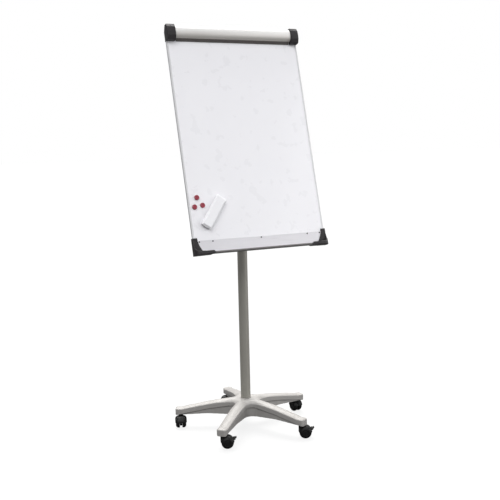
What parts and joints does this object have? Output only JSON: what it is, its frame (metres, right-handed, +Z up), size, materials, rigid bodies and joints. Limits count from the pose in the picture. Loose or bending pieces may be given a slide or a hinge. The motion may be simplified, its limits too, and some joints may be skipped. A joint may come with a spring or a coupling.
{
  "type": "flipchart easel",
  "caption": "Mobile flipchart easel: leaning white board with a hinged paper clamp and pen tray, on a telescopic column and a five-arm castor base.",
  "frame": {"origin": "the column's axis where it meets the floor", "axes": "+Z up along the column; +X to the right of a person who faces the board; the board faces -Y"},
  "size_m": [0.718, 0.7069, 2.0145],
  "materials": {
    "base_plastic": "satin",
    "column_paint": "satin",
    "bare_steel": "satin",
    "dark_plastic": "satin",
    "black_plastic": "satin",
    "bracket_paint": "satin",
    "board_enamel": "gloss",
    "board_core": "matte",
    "galvanised_sheet": "satin",
    "frame_aluminium": "satin",
    "tray_aluminium": "satin",
    "clamp_enamel": "satin",
    "jaw_rubber": "matte",
    "magnet_plastic": "gloss",
    "eraser_plastic": "satin",
    "eraser_felt": "matte"
  },
  "bodies": {
    "base": {"star_base": "base_plastic", "castor_sockets": "bare_steel", "outer_tube": "column_paint", "column_foot": "black_plastic", "base_bolt": "bare_steel", "column_collar": "dark_plastic"},
    "height_pad": {"height_pad": "bare_steel"},
    "height_knob": {"height_knob": "black_plastic", "height_stud": "bare_steel"},
    "mast": {"inner_tube": "bare_steel", "slide_bush": "black_plastic", "tilt_head": "bracket_paint", "tilt_bolt": "bare_steel"},
    "tilt_knob": {"tilt_knob": "black_plastic"},
    "board": {"board_bracket": "bracket_paint", "bracket_screws": "bare_steel", "board_face": "board_enamel", "board_core": "board_core", "board_back": "galvanised_sheet", "frame_sides": "frame_aluminium", "frame_top": "frame_aluminium", "frame_bottom": "frame_aluminium", "pen_tray": "tray_aluminium", "tray_screws": "bare_steel", "corner_cap_left": "dark_plastic", "corner_cap_right": "dark_plastic", "end_cap_left": "dark_plastic", "end_cap_right": "dark_plastic"},
    "clamp": {"clamp_bar": "clamp_enamel", "clamp_jaw": "jaw_rubber", "clamp_springs": "bare_steel"},
    "pad_hook_left": {"pad_hook_left": "black_plastic"},
    "pad_hook_right": {"pad_hook_right": "black_plastic"},
    "magnet_1": {"magnet_1": "magnet_plastic"},
    "magnet_2": {"magnet_2": "magnet_plastic"},
    "magnet_3": {"magnet_3": "magnet_plastic"},
    "eraser": {"eraser_body": "eraser_plastic", "eraser_felt": "eraser_felt"},
    "rear_right_castor": {"rear_right_housing": "black_plastic", "rear_right_pins": "bare_steel"},
    "rear_right_wheel_a": {"rear_right_wheel_a": "black_plastic"},
    "rear_right_wheel_b": {"rear_right_wheel_b": "black_plastic"},
    "rear_left_castor": {"rear_left_housing": "black_plastic", "rear_left_pins": "bare_steel"},
    "rear_left_wheel_a": {"rear_left_wheel_a": "black_plastic"},
    "rear_left_wheel_b": {"rear_left_wheel_b": "black_plastic"},
    "left_castor": {"left_housing": "black_plastic", "left_pins": "bare_steel"},
    "left_wheel_a": {"left_wheel_a": "black_plastic"},
    "left_wheel_b": {"left_wheel_b": "black_plastic"},
    "front_castor": {"front_housing": "black_plastic", "front_pins": "bare_steel"},
    "front_wheel_a": {"front_wheel_a": "black_plastic"},
    "front_wheel_b": {"front_wheel_b": "black_plastic"},
    "front_pedal": {"front_pedal": "black_plastic"},
    "right_castor": {"right_housing": "black_plastic", "right_pins": "bare_steel"},
    "right_wheel_a": {"right_wheel_a": "black_plastic"},
    "right_wheel_b": {"right_wheel_b": "black_plastic"},
    "right_pedal": {"right_pedal": "black_plastic"}
  },
  "joints": [
    {"name": "mast_height", "type": "slide", "parent": "base", "child": "mast", "axis": [0, 0, 1], "range_m": [-0.35, 0]},
    {"name": "board_tilt", "type": "hinge", "parent": "mast", "child": "board", "pos_m": [0, 0, 1.54], "axis": [-1, 0, 0], "range_deg": [-15, 30]},
    {"name": "clamp_lift", "type": "hinge", "parent": "board", "child": "clamp", "pos_m": [0, 0.04957, 1.99674], "axis": [-1, 0, 0], "range_deg": [0, 80], "stiffness_Nm_per_rad": 0.4, "springref_deg": -40.11},
    {"name": "height_knob_turn", "type": "hinge", "parent": "height_pad", "child": "height_knob", "pos_m": [0, 0.05, 1.115], "axis": [0, 1, 0], "range_deg": [0, 540]},
    {"name": "height_pad_slide", "type": "slide", "parent": "base", "child": "height_pad", "axis": [0, 1, 0], "range_m": [0, 0.00188]},
    {"name": "tilt_knob_turn", "type": "hinge", "parent": "mast", "child": "tilt_knob", "pos_m": [0.04, 0, 1.54], "axis": [1, 0, 0], "range_deg": [0, 360]},
    {"name": "left_hook_slide", "type": "slide", "parent": "board", "child": "pad_hook_left", "axis": [1, 0, 0], "range_m": [-0.08, 0.14]},
    {"name": "right_hook_slide", "type": "slide", "parent": "board", "child": "pad_hook_right", "axis": [1, 0, 0], "range_m": [-0.14, 0.08]},
    {"name": "magnet_1_lift", "type": "slide", "parent": "board", "child": "magnet_1", "axis": [0, -0.9641, 0.2656], "range_m": [0, 0.03]},
    {"name": "magnet_2_lift", "type": "slide", "parent": "board", "child": "magnet_2", "axis": [0, -0.9641, 0.2656], "range_m": [0, 0.03]},
    {"name": "magnet_3_lift", "type": "slide", "parent": "board", "child": "magnet_3", "axis": [0, -0.9641, 0.2656], "range_m": [0, 0.03]},
    {"name": "eraser_lift", "type": "slide", "parent": "board", "child": "eraser", "axis": [0, -0.9641, 0.2656], "range_m": [0, 0.05]},
    {"name": "rear_right_swivel", "type": "hinge", "parent": "base", "child": "rear_right_castor", "pos_m": [0.33464, 0.0542, 0.066], "axis": [0, 0, 1], "continuous": true},
    {"name": "rear_right_wheel_a_roll", "type": "hinge", "parent": "rear_right_castor", "child": "rear_right_wheel_a", "pos_m": [0.33281, 0.07512, 0.03], "axis": [-0.9962, -0.0872, 0], "continuous": true},
    {"name": "rear_right_wheel_b_roll", "type": "hinge", "parent": "rear_right_castor", "child": "rear_right_wheel_b", "pos_m": [0.33281, 0.07512, 0.03], "axis": [-0.9962, -0.0872, 0], "continuous": true},
    {"name": "rear_left_swivel", "type": "hinge", "parent": "base", "child": "rear_left_castor", "pos_m": [0.05186, 0.33501, 0.066], "axis": [0, 0, 1], "continuous": true},
    {"name": "rear_left_wheel_a_roll", "type": "hinge", "parent": "rear_left_castor", "child": "rear_left_wheel_a", "pos_m": [0.03487, 0.32267, 0.03], "axis": [0.5878, -0.809, 0], "continuous": true},
    {"name": "rear_left_wheel_b_roll", "type": "hinge", "parent": "rear_left_castor", "child": "rear_left_wheel_b", "pos_m": [0.03487, 0.32267, 0.03], "axis": [0.5878, -0.809, 0], "continuous": true},
    {"name": "left_swivel", "type": "hinge", "parent": "base", "child": "left_castor", "pos_m": [-0.30259, 0.15285, 0.066], "axis": [0, 0, 1], "continuous": true},
    {"name": "left_wheel_a_roll", "type": "hinge", "parent": "left_castor", "child": "left_wheel_a", "pos_m": [-0.30977, 0.13311, 0.03], "axis": [0.9397, -0.342, 0], "continuous": true},
    {"name": "left_wheel_b_roll", "type": "hinge", "parent": "left_castor", "child": "left_wheel_b", "pos_m": [-0.30977, 0.13311, 0.03], "axis": [0.9397, -0.342, 0], "continuous": true},
    {"name": "front_swivel", "type": "hinge", "parent": "base", "child": "front_castor", "pos_m": [-0.23887, -0.24054, 0.066], "axis": [0, 0, 1], "continuous": true},
    {"name": "front_wheel_a_roll", "type": "hinge", "parent": "front_castor", "child": "front_wheel_a", "pos_m": [-0.21914, -0.24773, 0.03], "axis": [0.342, 0.9397, 0], "continuous": true},
    {"name": "front_wheel_b_roll", "type": "hinge", "parent": "front_castor", "child": "front_wheel_b", "pos_m": [-0.21914, -0.24773, 0.03], "axis": [0.342, 0.9397, 0], "continuous": true},
    {"name": "front_pedal_press", "type": "hinge", "parent": "front_castor", "child": "front_pedal", "pos_m": [-0.18789, -0.2591, 0.04622], "axis": [0.342, 0.9397, 0], "range_deg": [0, 14]},
    {"name": "right_swivel", "type": "hinge", "parent": "base", "child": "right_castor", "pos_m": [0.15496, -0.30151, 0.066], "axis": [0, 0, 1], "continuous": true},
    {"name": "right_wheel_a_roll", "type": "hinge", "parent": "right_castor", "child": "right_wheel_a", "pos_m": [0.17414, -0.31005, 0.03], "axis": [0.4067, 0.9135, 0], "continuous": true},
    {"name": "right_wheel_b_roll", "type": "hinge", "parent": "right_castor", "child": "right_wheel_b", "pos_m": [0.17414, -0.31005, 0.03], "axis": [0.4067, 0.9135, 0], "continuous": true},
    {"name": "right_pedal_press", "type": "hinge", "parent": "right_castor", "child": "right_pedal", "pos_m": [0.20452, -0.32358, 0.04622], "axis": [0.4067, 0.9135, 0], "range_deg": [0, 14]}
  ],
  "couplings": [
    {"joint": "height_pad_slide", "follows": "height_knob_turn", "m_per_rad": 0.00019894}
  ]
}
